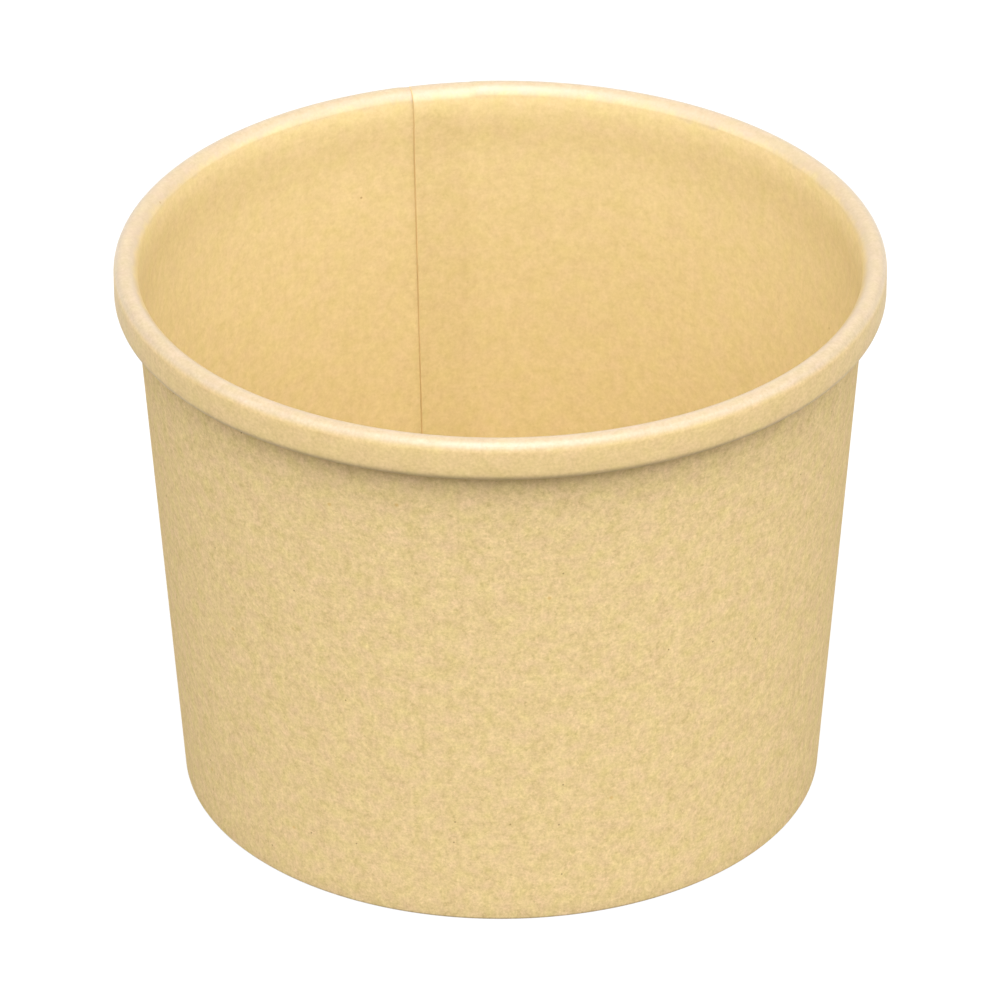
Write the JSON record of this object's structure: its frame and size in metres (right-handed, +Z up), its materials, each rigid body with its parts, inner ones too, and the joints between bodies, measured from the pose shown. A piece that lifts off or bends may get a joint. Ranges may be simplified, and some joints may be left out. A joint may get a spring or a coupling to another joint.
{
  "type": "kraft paper soup cup",
  "caption": "Tapered kraft board soup cup with an outward rolled rim, a lapped side seam and a recessed base locked in a folded foot.",
  "frame": {"origin": "on the cup's axis, in the plane that it stands on", "axes": "+Z up along the axis, towards the open rim; +Y towards the middle of the side seam; +X follows from the right-hand rule"},
  "size_m": [0.098, 0.098, 0.0737],
  "materials": {
    "kraft_board": "unbleached kraft board with fine fibres, matt outside and with a thin clear coat on the inside and over the rim",
    "base_board": "unbleached kraft board with fine fibres and a thin clear coat on the upper side"
  },
  "bodies": {
    "root": {"sidewall": "kraft_board", "base_disc": "base_board"}
  },
  "joints": []
}
